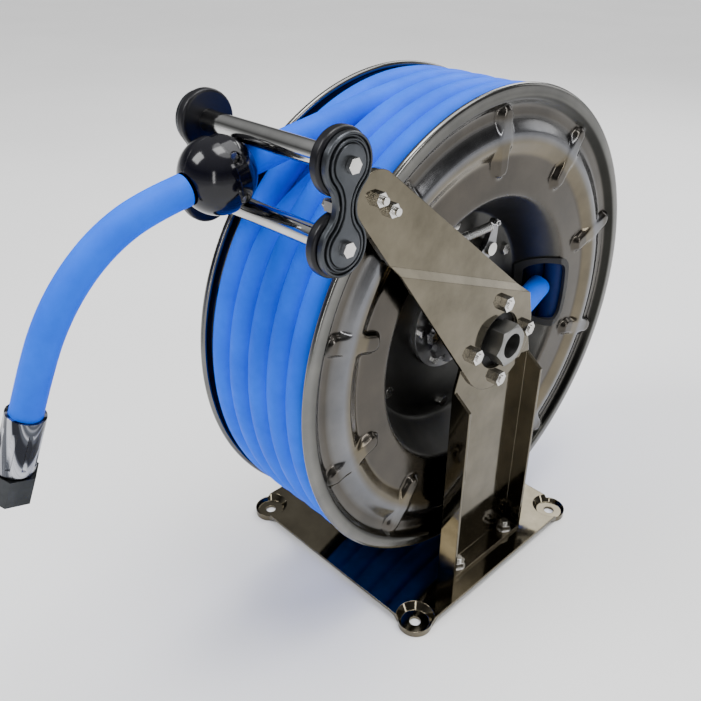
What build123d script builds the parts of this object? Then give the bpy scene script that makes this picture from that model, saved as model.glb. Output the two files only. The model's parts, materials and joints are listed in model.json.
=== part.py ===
"""Spring-retracting stainless steel fire hose reel.

Frame: origin at the centre of the four base holes, on the underside of the base.
+X runs along the drum's axle towards the pedestal, -Y is the side the hose leaves on, +Z is up.
All lengths are millimetres.
"""
from build123d import *
from math import acos, atan2, cos, degrees, hypot, pi, radians, sin, sqrt, tan
import os

os.makedirs("parts", exist_ok=True)

# ---------------------------------------------------------------- driving dimensions
sheet = 3.0                 # structural stainless sheet
skin = 1.5                  # pressed drum sheet
fit = 0.05                  # radial clearance of a running fit
gap = 0.3                   # clearance between pieces that pass each other

hole_spacing_x = 225.0
hole_spacing_y = 232.0
base_hole_r = 5.5
foot_r = 17.0               # radius of the pressed corner foot
base_lift = 7.0             # the plate stands this far above its feet

drum_x = 11.0               # middle of the drum
axle_y = 3.5
axle_z = 266.0

rim_r = 222.0               # centre line of the rolled rim
rim_roll_r = 3.0
rim_centre_x = 66.0
annulus_x = 65.0            # outer face of the flange's outer ring, from the drum's middle
bead_x = 69.5
band_x = 62.5
band_r = 163.0
dish_r = 129.0              # edge of the central dish
dish_floor_x = 20.0
dish_floor_r = 106.0
core_r = 123.5
core_half_width = 46.0
rib_count = 10
rib_mid_r = 179.0
rib_length = 58.0
rib_width = 15.0

hose_r = 12.0
hose_bore_r = 8.0
turn_pitch = 24.2
outer_turn_r = 212.0        # centre line of the outermost layer
coil_inner_r = 131.0
lead_x = -turn_pitch        # axial place of the turn that pays out

web_x = 80.0                # outer face of the pedestal's web
flange_reach_x = 98.0       # free edge of the pedestal's side flanges
pedestal_half_width = 57.0
shoulder_z = 234.0          # where the pedestal starts to narrow
arm_joggle = 6.0            # the arm's upper part steps this far towards the drum
arm_bolt_pcd = 78.0
arm_hole_r = 28.0
arm_end = (-159.5, 172.5)   # centre of the arm's upper end, (y, z) from the axle
arm_end_r = 20.5
arm_root_r = 49.0

top_roller_at = (-193.0, 205.0)
bottom_roller_at = (-198.0, 149.0)
roller_r = 8.5
axle_rod_r = 5.0
disc_r = 23.5
disc_width = 9.0
disc_inner_x = 70.0
end_plate_r = 21.0
end_plate_width = 6.5

bolt_r = 4.0                # M8
small_bolt_r = 3.0          # M6
screw_r = 2.0               # M4
nut_height = 6.5
washer_height = 1.6

shaft_r = 15.0
shaft_bore_r = 8.0
inlet_af = 36.0
inlet_thread_r = 12.06      # G3/4 female thread, minor radius
inlet_depth = 16.0
ball_r = 29.0
notch_count = 12


def across(x):
    """Plane square to the axle, x from the drum's middle; local (u, v) is (y, z) from the axle."""
    return Plane(origin=(drum_x + x, axle_y, axle_z), x_dir=(0, 1, 0), z_dir=(1, 0, 0))


def polar(radius, angle):
    """A point (y, z) from the axle; angle 0 points along +Y."""
    return (radius * cos(radians(angle)), radius * sin(radians(angle)))


def place(x, yz=(0.0, 0.0)):
    """The model point at x from the drum's middle and (y, z) from the axle."""
    return (drum_x + x, axle_y + yz[0], axle_z + yz[1])


def square_to_axle(x, yz):
    """Plane square to the axle whose origin is the point (x, yz)."""
    return Plane(origin=place(x, yz), x_dir=(0, 1, 0), z_dir=(1, 0, 0))


# Half section through the axle: local u is x from the drum's middle, v is the radius.
half_section = Plane(origin=(drum_x, axle_y, axle_z), x_dir=(1, 0, 0), z_dir=(0, -1, 0))
axle = Axis((drum_x, axle_y, axle_z), (1, 0, 0))


def save(piece, name):
    piece.part.label = name
    export_step(piece.part, f"parts/{name}.step")


def hex_bolt(at, radius, af, head, length):
    """A hexagon bolt: the head's seat is on the plane, the shank runs along the plane's normal."""
    with BuildSketch(at.offset(-head)) as hexagon:
        RegularPolygon(af / 2, 6, major_radius=False)
    extrude(hexagon.sketch, amount=head)
    with BuildSketch(at) as shank:
        Circle(radius)
    extrude(shank.sketch, amount=length)


def hex_nut(at, radius, af, height):
    """A hexagon nut standing on the plane."""
    with BuildSketch(at) as ring:
        RegularPolygon(af / 2, 6, major_radius=False)
        Circle(radius + fit, mode=Mode.SUBTRACT)
    extrude(ring.sketch, amount=height)


def stepped_pin(at, *steps):
    """A pin of round steps along the plane's normal, each (start, radius, length)."""
    for start, radius, length in steps:
        with BuildSketch(at.offset(start)) as disc:
            Circle(radius)
        extrude(disc.sketch, amount=length)


def turned(points):
    """A ring or shaft turned about the axle from its half section."""
    with BuildSketch(half_section) as section:
        with BuildLine():
            Polyline(*points, close=True)
        make_face()
    revolve(section.sketch, axis=axle)


# ---------------------------------------------------------------- base plate
plate_half_x = hole_spacing_x / 2 + 15
plate_half_y = hole_spacing_y / 2 + 12
plate_top = base_lift + sheet
step_r = foot_r + 5
foot_bolt_x = drum_x + (web_x + flange_reach_x) / 2
foot_bolt_y = 40.0
foot_bolts_at = [(foot_bolt_x, axle_y + side * foot_bolt_y) for side in (-1, 1)]

# One corner foot: a flat pad with a sloped wall up to the plate.
with BuildPart() as foot_form:
    with BuildSketch(Plane.XZ):
        with BuildLine():
            Polyline((0, 0), (foot_r, 0), (step_r, base_lift), (step_r, plate_top),
                     (step_r - sheet, plate_top), (foot_r - sheet, sheet), (0, sheet), close=True)
        make_face()
    revolve(axis=Axis.Z)

with BuildPart() as base_plate:
    with BuildSketch(Plane.XY.offset(base_lift)):
        RectangleRounded(2 * plate_half_x, 2 * plate_half_y, foot_r)
        with GridLocations(hole_spacing_x, hole_spacing_y, 2, 2):
            Circle(step_r - 1, mode=Mode.SUBTRACT)
    extrude(amount=sheet)
    with GridLocations(hole_spacing_x, hole_spacing_y, 2, 2):
        add(foot_form.part)
    with BuildSketch(Plane.XY):
        RectangleRounded(2 * plate_half_x, 2 * plate_half_y, foot_r)
        with GridLocations(hole_spacing_x, hole_spacing_y, 2, 2):
            Circle(foot_r)
    extrude(amount=plate_top, mode=Mode.INTERSECT)
    with BuildSketch(Plane.XY):
        with GridLocations(hole_spacing_x, hole_spacing_y, 2, 2):
            Circle(base_hole_r)
        with Locations(*foot_bolts_at):
            Circle(bolt_r + fit)
    extrude(amount=plate_top, mode=Mode.SUBTRACT)
save(base_plate, "base_plate")

# ---------------------------------------------------------------- pedestal
shoulder_v = shoulder_z - axle_z
flange_top_v = shoulder_v - 16
foot_v = plate_top - axle_z
head_r = arm_root_r - 1.5

with BuildPart() as pedestal:
    # Web: a straight leg, shoulders and a round head about the axle.
    with BuildSketch(across(web_x - sheet)):
        with BuildLine():
            head = CenterArc((0, 0), head_r, 0, 180)
            Polyline(head @ 0, (pedestal_half_width, shoulder_v), (pedestal_half_width, foot_v),
                     (-pedestal_half_width, foot_v), (-pedestal_half_width, shoulder_v), head @ 1)
        make_face()
    extrude(amount=sheet)
    # Side flanges, bent outwards, with their top corners cut off.
    for edge in (-pedestal_half_width, pedestal_half_width - sheet):
        with BuildSketch(Plane(origin=place(0, (edge, 0)), x_dir=(1, 0, 0), z_dir=(0, 1, 0))):
            with BuildLine():
                Polyline((web_x - sheet, -shoulder_v), (flange_reach_x, -flange_top_v),
                         (flange_reach_x, -foot_v), (web_x - sheet, -foot_v), close=True)
            make_face()
        extrude(amount=sheet)
    # Foot flange on the base plate.
    with BuildSketch(Plane(origin=(drum_x, axle_y, plate_top))):
        with Locations(((web_x - sheet + flange_reach_x) / 2, 0)):
            Rectangle(flange_reach_x - web_x + sheet, 2 * pedestal_half_width)
    extrude(amount=sheet)
    with BuildSketch(across(web_x - sheet)):
        Circle(arm_hole_r)
        with PolarLocations(arm_bolt_pcd / 2, 4):
            Circle(bolt_r + fit)
    extrude(amount=sheet, mode=Mode.SUBTRACT)
    with BuildSketch(Plane.XY.offset(plate_top)):
        with Locations(*foot_bolts_at):
            Circle(bolt_r + fit)
    extrude(amount=sheet, mode=Mode.SUBTRACT)
save(pedestal, "pedestal")

leg_foot_top = plate_top + sheet
with BuildPart() as foot_bolts:
    for point in foot_bolts_at:
        hex_bolt(Plane(origin=(*point, base_lift)), bolt_r, 13, 5.3,
                 2 * sheet + washer_height + nut_height + 4)
save(foot_bolts, "foot_bolts")

with BuildPart() as foot_nuts:
    for point in foot_bolts_at:
        with BuildSketch(Plane(origin=(*point, leg_foot_top))):
            Circle(8)
            Circle(bolt_r + fit, mode=Mode.SUBTRACT)
        extrude(amount=washer_height)
        hex_nut(Plane(origin=(*point, leg_foot_top + washer_height)), bolt_r, 13, nut_height)
save(foot_nuts, "foot_nuts")

# ---------------------------------------------------------------- guide arm
arm_high_x = web_x - arm_joggle      # inner face of its upper part; the root lies on the web
arm_lip = 3.0                        # the folded edge reaches this far behind the upper part
joggle_angle = -22.0                 # the joggle's run, seen square to the drum
joggle_mid = (-56.0, 78.0)
arm_corner = (38.0, 33.0)
guide_mid = ((top_roller_at[0] + bottom_roller_at[0]) / 2, (top_roller_at[1] + bottom_roller_at[1]) / 2)
roller_rise = top_roller_at[1] - bottom_roller_at[1]
roller_span = hypot(top_roller_at[0] - bottom_roller_at[0], roller_rise)
guide_tilt = -degrees(atan2(top_roller_at[0] - bottom_roller_at[0], roller_rise))
neck_height = 7.5                    # the guide bracket's neck, between the roller discs
clamp_bolts_at = [arm_end, (arm_end[0] + 13, arm_end[1] - 11)]


def arm_outline():
    """Outline of the arm: a round upper end, a round root about the axle and one square corner."""
    with Locations(arm_end):
        Circle(arm_end_r)
    Circle(arm_root_r)
    with Locations(arm_corner):
        Circle(4)
    make_hull()


# Local u is x and v runs square to the joggle, towards the root.
fold = Plane(origin=(drum_x, axle_y + joggle_mid[0], axle_z + joggle_mid[1]), x_dir=(1, 0, 0),
             z_dir=(0, cos(radians(joggle_angle)), sin(radians(joggle_angle))))
half_fold = arm_joggle / 2
reach = 300.0

with BuildPart() as arm_fold:
    with BuildSketch(fold):
        with BuildLine():
            Polyline((web_x, reach), (web_x, half_fold), (arm_high_x, -half_fold), (arm_high_x, -reach),
                     (arm_high_x + sheet, -reach), (arm_high_x + sheet, -half_fold),
                     (web_x + sheet, half_fold), (web_x + sheet, reach), close=True)
        make_face()
    extrude(amount=reach, both=True)

with BuildPart() as arm_edge:
    with BuildSketch(across(arm_high_x - arm_lip)):
        arm_outline()
        offset(amount=-sheet / 2, mode=Mode.SUBTRACT)
    extrude(amount=arm_lip + sheet)
    with BuildSketch(fold):
        with Locations((arm_high_x, -reach / 2 - arm_joggle)):
            Rectangle(4 * arm_joggle, reach)
    extrude(amount=reach, both=True, mode=Mode.INTERSECT)

with BuildPart() as guide_arm:
    with BuildSketch(across(arm_high_x)):
        arm_outline()
    extrude(amount=arm_joggle + sheet)
    add(arm_fold.part, mode=Mode.INTERSECT)
    add(arm_edge.part)
    with BuildSketch(across(arm_high_x)):
        Circle(arm_hole_r)
        with PolarLocations(arm_bolt_pcd / 2, 4):
            Circle(bolt_r + fit)
        with Locations(*clamp_bolts_at):
            Circle(small_bolt_r + fit)
    extrude(amount=arm_joggle + sheet, mode=Mode.SUBTRACT)
    # The guide bracket's neck passes through a notch in the folded edge.
    with BuildSketch(across(arm_high_x - arm_lip)):
        with Locations(guide_mid):
            Rectangle(50, neck_height + 1)
    extrude(amount=arm_lip, mode=Mode.SUBTRACT)
save(guide_arm, "guide_arm")

# ---------------------------------------------------------------- hollow shaft and water inlet
shaft_flange_r = 46.0
shaft_flange_x = web_x - sheet - 6.0
shaft_far_x = -68.0
tail_r = 12.0               # reduced far end of the shaft
tail_length = 10.0
spigot_x = 64.0
port_x = 54.0

with BuildPart() as main_shaft:
    turned([(shaft_far_x, 0), (shaft_far_x, tail_r), (shaft_far_x + tail_length, tail_r),
            (shaft_far_x + tail_length, shaft_r), (shaft_flange_x, shaft_r),
            (shaft_flange_x, shaft_flange_r), (web_x - sheet, shaft_flange_r), (web_x - sheet, tail_r),
            (spigot_x, tail_r), (spigot_x, shaft_bore_r), (port_x - 8, shaft_bore_r), (port_x - 12, 0)])
    with BuildSketch(across(shaft_flange_x)):
        with PolarLocations(arm_bolt_pcd / 2, 4):
            Circle(bolt_r + fit)
    extrude(amount=web_x - sheet - shaft_flange_x, mode=Mode.SUBTRACT)
    # Four ports let the water out of the bore into the swivel.
    for normal in ((0, 1, 0), (0, 0, 1)):
        with BuildSketch(Plane(origin=place(port_x), x_dir=(1, 0, 0), z_dir=normal)):
            Circle(4)
        extrude(amount=shaft_r + 1, both=True, mode=Mode.SUBTRACT)
save(main_shaft, "main_shaft")

inlet_face_x = 97.0
inlet_corner_r = inlet_af / 2 / cos(radians(30))
inlet_chamfer = 1.6         # along the axle, where the corners start to be turned down
with BuildPart() as chamfer_form:
    turned([(spigot_x, 0), (spigot_x, inlet_corner_r), (inlet_face_x - inlet_chamfer, inlet_corner_r),
            (inlet_face_x, inlet_af / 2 - 0.5), (inlet_face_x, 0)])

with BuildPart() as inlet_fitting:
    with BuildSketch(across(spigot_x)):
        Circle(tail_r)
    extrude(amount=web_x - sheet - spigot_x)
    with BuildSketch(across(web_x - sheet)):
        Circle(inlet_af / 2)
    extrude(amount=4)
    with BuildSketch(across(web_x + 1)):
        RegularPolygon(inlet_af / 2, 6, major_radius=False, rotation=8)
    extrude(amount=inlet_face_x - web_x - 1)
    add(chamfer_form.part, mode=Mode.INTERSECT)
    with BuildSketch(across(spigot_x)):
        Circle(shaft_bore_r)
    extrude(amount=inlet_face_x - spigot_x, mode=Mode.SUBTRACT)
    with BuildSketch(across(inlet_face_x - inlet_depth)):
        Circle(inlet_thread_r)
    extrude(amount=inlet_depth, mode=Mode.SUBTRACT)
save(inlet_fitting, "inlet_fitting")

bolt_stand_out = 1.5        # thread left beyond a nut
arm_bolts_at = [polar(arm_bolt_pcd / 2, 90 * turn) for turn in range(4)]
arm_face_x = web_x + sheet
with BuildPart() as arm_bolts:
    for point in arm_bolts_at:
        hex_bolt(square_to_axle(shaft_flange_x, point), bolt_r, 13, 2.5,
                 arm_face_x - shaft_flange_x + nut_height + bolt_stand_out)
save(arm_bolts, "arm_bolts")

with BuildPart() as arm_nuts:
    for point in arm_bolts_at:
        hex_nut(square_to_axle(arm_face_x, point), bolt_r, 13, nut_height)
save(arm_nuts, "arm_nuts")

# ---------------------------------------------------------------- hose guide
plate_inner_x = disc_inner_x + disc_width + gap
plate_outer_x = plate_inner_x + end_plate_width
neck_width = 17.0
neck_reach = 43.5           # length of the neck's flat part, from the guide to the arm
neck_screws_at = [(guide_mid[0] - 4.3, guide_mid[1]), (guide_mid[0] + 4.3, guide_mid[1])]

with BuildPart() as guide_bracket:
    with BuildSketch(across(arm_high_x - sheet)):
        for point in clamp_bolts_at:
            with Locations(point):
                Circle(arm_end_r - 4)
        make_hull()
        with Locations((guide_mid[0] + neck_reach / 2 - neck_width / 2, guide_mid[1])):
            Rectangle(neck_reach, neck_height)
    extrude(amount=sheet)
    with BuildSketch(across(arm_high_x)):
        with Locations(guide_mid):
            Rectangle(neck_width, neck_height)
    extrude(amount=plate_inner_x - arm_high_x)
    with BuildSketch(across(arm_high_x - sheet)):
        with Locations(*clamp_bolts_at):
            Circle(small_bolt_r + fit)
        with Locations(*neck_screws_at):
            Circle(screw_r + fit)
    extrude(amount=plate_inner_x - arm_high_x + sheet, mode=Mode.SUBTRACT)
save(guide_bracket, "guide_bracket")

arm_high_face_x = arm_high_x + sheet
bracket_back_x = arm_high_x - sheet
with BuildPart() as clamp_bolts:
    for point in clamp_bolts_at:
        hex_bolt(square_to_axle(bracket_back_x, point), small_bolt_r, 10, 1.2,
                 arm_high_face_x - bracket_back_x + 5 + 4)
save(clamp_bolts, "clamp_bolts")

with BuildPart() as clamp_nuts:
    for point in clamp_bolts_at:
        hex_nut(square_to_axle(arm_high_face_x, point), small_bolt_r, 10, 5)
save(clamp_nuts, "clamp_nuts")

with BuildPart() as neck_screws:
    for point in neck_screws_at:
        hex_bolt(square_to_axle(bracket_back_x, point), screw_r, 7, 2.8, plate_inner_x - bracket_back_x + 4)
save(neck_screws, "neck_screws")


def end_plate(inner_x, with_screw_holes):
    """One end plate of the hose guide: two round ends joined by a waist, bored for the axle screws."""
    with BuildSketch(across(inner_x)) as outline:
        with Locations(top_roller_at, bottom_roller_at):
            Circle(end_plate_r)
        with Locations(Location((*guide_mid, 0), (0, 0, guide_tilt))):
            Rectangle(23, roller_span)
        with Locations(top_roller_at, bottom_roller_at):
            Circle(small_bolt_r + fit, mode=Mode.SUBTRACT)
    extrude(outline.sketch, amount=end_plate_width)
    if with_screw_holes:
        with BuildSketch(across(inner_x)) as holes:
            with Locations(*neck_screws_at):
                Circle(screw_r)
        extrude(holes.sketch, amount=4, mode=Mode.SUBTRACT)


with BuildPart() as near_end_plate:
    end_plate(plate_inner_x, True)
save(near_end_plate, "near_end_plate")

with BuildPart() as far_end_plate:
    end_plate(-plate_outer_x, False)
save(far_end_plate, "far_end_plate")

with BuildPart() as roller_axles:
    with BuildSketch(across(-plate_inner_x)):
        with Locations(top_roller_at, bottom_roller_at):
            Circle(axle_rod_r)
    extrude(amount=2 * plate_inner_x)
    for inner_x in (-plate_inner_x, plate_inner_x - 12):
        with BuildSketch(across(inner_x)):
            with Locations(top_roller_at, bottom_roller_at):
                Circle(small_bolt_r)
        extrude(amount=12, mode=Mode.SUBTRACT)
save(roller_axles, "roller_axles")

with BuildPart() as axle_screws:
    for point in (top_roller_at, bottom_roller_at):
        for side in (-1, 1):
            seat = Plane(origin=place(side * plate_outer_x, point), x_dir=(0, 1, 0), z_dir=(-side, 0, 0))
            hex_bolt(seat, small_bolt_r, 10, 4, end_plate_width + 12)
save(axle_screws, "axle_screws")

for name, point in (("top_roller", top_roller_at), ("bottom_roller", bottom_roller_at)):
    with BuildPart() as roller:
        with BuildSketch(square_to_axle(-disc_inner_x - disc_width, point)):
            Circle(roller_r)
            Circle(axle_rod_r + fit, mode=Mode.SUBTRACT)
        extrude(amount=2 * (disc_inner_x + disc_width))
    save(roller, name)
    with BuildPart() as discs:
        for inner_x in (-disc_inner_x - disc_width, disc_inner_x):
            with BuildSketch(square_to_axle(inner_x, point)):
                Circle(disc_r)
                Circle(roller_r, mode=Mode.SUBTRACT)
            extrude(amount=disc_width)
        fillet(discs.edges().filter_by(GeomType.CIRCLE).group_by(SortBy.RADIUS)[-1], 2.5)
    save(discs, name + "_discs")

# ---------------------------------------------------------------- hose stopper ball
ball_off = sqrt((roller_r + ball_r + gap) ** 2 - (roller_span / 2) ** 2)
ball_at = (guide_mid[0] - ball_off * roller_rise / roller_span,
           guide_mid[1] + ball_off * (top_roller_at[0] - bottom_roller_at[0]) / roller_span)
lead_angle = degrees(atan2(ball_at[1], ball_at[0]) - acos(outer_turn_r / hypot(*ball_at)))
lead_start = polar(outer_turn_r, lead_angle)
lead_run = (-sin(radians(lead_angle)), cos(radians(lead_angle)))
ball_exit = (ball_at[0] + ball_r * lead_run[0], ball_at[1] + ball_r * lead_run[1])
hose_line = Plane(origin=place(lead_x, ball_at), x_dir=(1, 0, 0), z_dir=(0, *lead_run))
screw_off = hose_r + screw_r + 1.5
screw_back = -5.0
pocket_x = 19.0

with BuildPart() as ball:
    with Locations(place(lead_x, ball_at)):
        Sphere(ball_r)
    with BuildSketch(hose_line.offset(-ball_r)):
        Circle(hose_r)
    extrude(amount=2 * ball_r, mode=Mode.SUBTRACT)
    # Behind the shoulder the ball is a little smaller and holds the two screw pockets.
    with BuildSketch(hose_line.offset(-ball_r)):
        Circle(ball_r + 1)
        Circle(ball_r - 2, mode=Mode.SUBTRACT)
    extrude(amount=ball_r, mode=Mode.SUBTRACT)
    side_on = Plane(origin=place(lead_x, ball_at), x_dir=(0, *lead_run), z_dir=(1, 0, 0))
    with BuildSketch(side_on.offset(-ball_r)):
        with Locations((screw_back, screw_off), (screw_back, -screw_off)):
            Circle(screw_r + fit)
    extrude(amount=2 * ball_r, mode=Mode.SUBTRACT)
    for pocket_plane in (side_on.offset(pocket_x - 3), side_on.offset(-ball_r)):
        with BuildSketch(pocket_plane):
            with Locations((screw_back, screw_off), (screw_back, -screw_off)):
                Circle(4.2)
        extrude(amount=ball_r - pocket_x + 3, mode=Mode.SUBTRACT)

for name, keep in (("ball_near_half", Keep.TOP), ("ball_far_half", Keep.BOTTOM)):
    with BuildPart() as half:
        add(ball.part)
        split(bisect_by=Plane(origin=place(lead_x), z_dir=(1, 0, 0)), keep=keep)
    save(half, name)

with BuildPart() as ball_screws:
    for off in (-screw_off, screw_off):
        centre = side_on.from_local_coords((screw_back, off, 0))
        seat = Plane(origin=(centre.X + pocket_x - 3, centre.Y, centre.Z), x_dir=(0, 1, 0), z_dir=(-1, 0, 0))
        hex_bolt(seat, screw_r, 7, 2.8, 2 * (pocket_x - 3))
save(ball_screws, "ball_screws")

# ---------------------------------------------------------------- drum
window_r = 122.0
window_half_angle = 9.0
window_height = 30.0


window_arc = CenterArc((0, 0), window_r, -window_half_angle, 2 * window_half_angle)


def window_slot(height, mode=Mode.ADD):
    """The curved slot of the window, behind the axle."""
    SlotArc(window_arc, height, mode=mode)


hub_hole_r = 35.6
tie_r = 96.0
case_stud_r = 60.0
case_stud_count = 6
tie_count = 6
hub_screw_pcr = 43.0

pawl_pin_at = polar(76, 60)
spring_post_at = polar(92, 105)

with BuildPart() as flange_form:
    with BuildSketch(half_section):
        with BuildLine():
            FilletPolyline((dish_floor_x, hub_hole_r), (dish_floor_x, dish_floor_r), (band_x, dish_r),
                           (band_x, band_r), (annulus_x, band_r + 3), (annulus_x, band_r + 14),
                           (bead_x, band_r + 19), (bead_x, band_r + 27), (annulus_x, band_r + 32),
                           (annulus_x, rim_r - 10), (rim_centre_x + 1, rim_r - 7),
                           (rim_centre_x + 1, rim_r), radius=1.2)
            offset(amount=skin, side=Side.LEFT)
        make_face()
        with Locations((rim_centre_x, rim_r)):
            Circle(rim_roll_r)
    revolve(axis=axle)
    # Radial ribs pressed across the bead.
    with BuildSketch(across(band_x - 1)):
        with PolarLocations(rib_mid_r, rib_count, start_angle=18):
            SlotOverall(rib_length, rib_width)
    extrude(amount=5.5)
    with BuildSketch(across(dish_floor_x - 2 * skin)):
        with PolarLocations(tie_r, tie_count, start_angle=30):
            Circle(small_bolt_r + fit)
        with PolarLocations(hub_screw_pcr, 6):
            Circle(screw_r + fit)
    extrude(amount=3 * skin, mode=Mode.SUBTRACT)

with BuildPart() as near_flange:
    add(flange_form.part)
    with BuildSketch(across(dish_floor_x - 2)):
        window_slot(window_height)
    extrude(amount=50, mode=Mode.SUBTRACT)
    with BuildSketch(across(dish_floor_x - 2 * skin)):
        with Locations(pawl_pin_at, spring_post_at):
            Circle(screw_r)
    extrude(amount=3 * skin, mode=Mode.SUBTRACT)
save(near_flange, "near_flange")

drum_middle = Plane(origin=place(0), z_dir=(1, 0, 0))
with BuildPart() as far_flange:
    mirror(flange_form.part, about=drum_middle)
    with BuildSketch(across(-dish_floor_x - skin)):
        with PolarLocations(case_stud_r, case_stud_count):
            Circle(screw_r)
    extrude(amount=3 * skin, mode=Mode.SUBTRACT)
save(far_flange, "far_flange")

# A moulded edging grips the edge of the window on both sides of the sheet.
edging_foot_x = dish_floor_x + 1
edging_front_x = band_x + 1.5
edging_back_x = band_x - 1.9
with BuildPart() as window_edging:
    with BuildSketch(across(dish_floor_x + 2)):
        window_slot(window_height + 9)
        window_slot(window_height - 4, Mode.SUBTRACT)
    extrude(amount=45)
    with BuildSketch(half_section):
        with BuildLine():
            Polyline((edging_foot_x, dish_floor_r - 2), (edging_front_x, dish_r - 1.2),
                     (edging_front_x, band_r - 8), (edging_back_x, band_r - 8),
                     (edging_back_x, dish_r + 1.5), (edging_foot_x, dish_floor_r + 3), close=True)
        make_face()
    revolve(axis=axle, mode=Mode.INTERSECT)
    add(near_flange.part, mode=Mode.SUBTRACT)
save(window_edging, "window_edging")

with BuildPart() as drum_core:
    turned([(-core_half_width, core_r - skin), (core_half_width, core_r - skin),
            (core_half_width, core_r), (-core_half_width, core_r)])
    with BuildSketch(across(dish_floor_x - 2)):
        window_slot(window_height + 10)
    extrude(amount=50, mode=Mode.SUBTRACT)
save(drum_core, "drum_core")

floor_back_x = dish_floor_x - skin
tie_points = [polar(tie_r, 30 + 60 * turn) for turn in range(tie_count)]
with BuildPart() as spacer_tubes:
    for point in tie_points:
        with BuildSketch(square_to_axle(-floor_back_x, point)):
            Circle(6)
            Circle(small_bolt_r + fit, mode=Mode.SUBTRACT)
        extrude(amount=2 * floor_back_x)
save(spacer_tubes, "spacer_tubes")

with BuildPart() as tie_bolts:
    for point in tie_points:
        seat = Plane(origin=place(dish_floor_x, point), x_dir=(0, 1, 0), z_dir=(-1, 0, 0))
        hex_bolt(seat, small_bolt_r, 10, 4, 2 * dish_floor_x + 7)
save(tie_bolts, "tie_bolts")

with BuildPart() as tie_nuts:
    for point in tie_points:
        seat = Plane(origin=place(-dish_floor_x, point), x_dir=(0, 1, 0), z_dir=(-1, 0, 0))
        hex_nut(seat, small_bolt_r, 10, 5)
save(tie_nuts, "tie_nuts")

# ---------------------------------------------------------------- hubs and bearings
bearing_outer_r = 27.5
bearing_near_x = 7.0
bearing_far_x = 19.0
hub_flange_r = 50.0
hub_face_x = 24.0

with BuildPart() as hub_form:
    turned([(bearing_near_x - 2.5, 20), (bearing_near_x - 2.5, hub_hole_r - fit),
            (dish_floor_x, hub_hole_r - fit), (dish_floor_x, hub_flange_r), (hub_face_x, hub_flange_r),
            (hub_face_x, bearing_outer_r), (bearing_near_x, bearing_outer_r), (bearing_near_x, 20)])
    with BuildSketch(across(dish_floor_x)):
        with PolarLocations(hub_screw_pcr, 6):
            Circle(screw_r + fit)
    extrude(amount=hub_face_x - dish_floor_x, mode=Mode.SUBTRACT)

with BuildPart() as hubs:
    add(hub_form.part)
    mirror(hub_form.part, about=drum_middle)
save(hubs, "hubs")

with BuildPart() as bearing_form:
    turned([(bearing_near_x, shaft_r + fit), (bearing_near_x, bearing_outer_r),
            (bearing_far_x, bearing_outer_r), (bearing_far_x, bearing_outer_r - 3),
            (bearing_far_x - 1, bearing_outer_r - 3), (bearing_far_x - 1, shaft_r + 3),
            (bearing_far_x, shaft_r + 3), (bearing_far_x, shaft_r + fit)])

with BuildPart() as bearings:
    add(bearing_form.part)
    mirror(bearing_form.part, about=drum_middle)
save(bearings, "bearings")

hub_screws_at = [polar(hub_screw_pcr, 60 * turn) for turn in range(6)]
with BuildPart() as hub_screws:
    for point in hub_screws_at:
        for side in (-1, 1):
            seat = Plane(origin=place(side * hub_face_x, point), x_dir=(0, 1, 0), z_dir=(-side, 0, 0))
            hex_bolt(seat, screw_r, 7, 2.8, hub_face_x - floor_back_x + 2)
save(hub_screws, "hub_screws")

# ---------------------------------------------------------------- power spring, on the far side
case_r = 102.0
case_lip_r = 110.0
case_back_x = -dish_floor_x - 9.5
case_face_x = -63.0
cover_face_x = case_face_x - 2 * skin
arbor_r = 22.0
arbor_inner_x = -36.0
strip = 1.6
strip_width = 20.0
spring_turns = 8
inner_strip_r = arbor_r + strip / 2
outer_strip_r = case_r - skin - strip / 2
spring_pitch = (outer_strip_r - inner_strip_r) / spring_turns
rivet_x = arbor_inner_x - 1 - strip_width / 2
rivet_seat = Plane(origin=place(rivet_x), x_dir=(1, 0, 0), z_dir=(0, 1, 0))
shoulder_x = shaft_far_x + tail_length      # the shaft steps down here

with BuildPart() as spring_case:
    turned([(case_back_x, shaft_r + 6), (case_back_x, case_r), (case_face_x + skin, case_r),
            (case_face_x + skin, case_lip_r), (case_face_x, case_lip_r), (case_face_x, case_r - skin),
            (case_back_x - skin, case_r - skin), (case_back_x - skin, shaft_r + 6)])
    # Hollow feet carry the case on the floor of the flange's dish.
    with BuildSketch(across(case_back_x)):
        with PolarLocations(case_stud_r, case_stud_count):
            Circle(7)
    extrude(amount=-case_back_x - dish_floor_x)
    with BuildSketch(across(case_back_x - skin)):
        with PolarLocations(case_stud_r, case_stud_count):
            Circle(screw_r + fit)
    extrude(amount=skin - case_back_x - dish_floor_x, mode=Mode.SUBTRACT)
    with BuildSketch(across(case_face_x)):
        with PolarLocations(case_lip_r - 4, 6, start_angle=30):
            Circle(screw_r)
    extrude(amount=skin, mode=Mode.SUBTRACT)
    with BuildSketch(rivet_seat):
        Circle(screw_r)
    extrude(amount=case_r, mode=Mode.SUBTRACT)
save(spring_case, "spring_case")

case_screw_length = 2 * skin - case_back_x - dish_floor_x
with BuildPart() as case_screws:
    for turn in range(case_stud_count):
        point = polar(case_stud_r, turn * 360 / case_stud_count)
        hex_bolt(square_to_axle(case_back_x - skin, point), screw_r, 7, 1.5, case_screw_length)
save(case_screws, "case_screws")

with BuildPart() as spring_cover:
    turned([(case_face_x, 20), (case_face_x, case_lip_r), (case_face_x - skin, case_lip_r),
            (case_face_x - skin, case_r), (cover_face_x, case_r - 6), (cover_face_x, 20)])
    with BuildSketch(across(case_face_x)):
        with PolarLocations(case_lip_r - 4, 6, start_angle=30):
            Circle(screw_r + fit)
    extrude(amount=-skin, mode=Mode.SUBTRACT)
save(spring_cover, "spring_cover")

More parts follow.
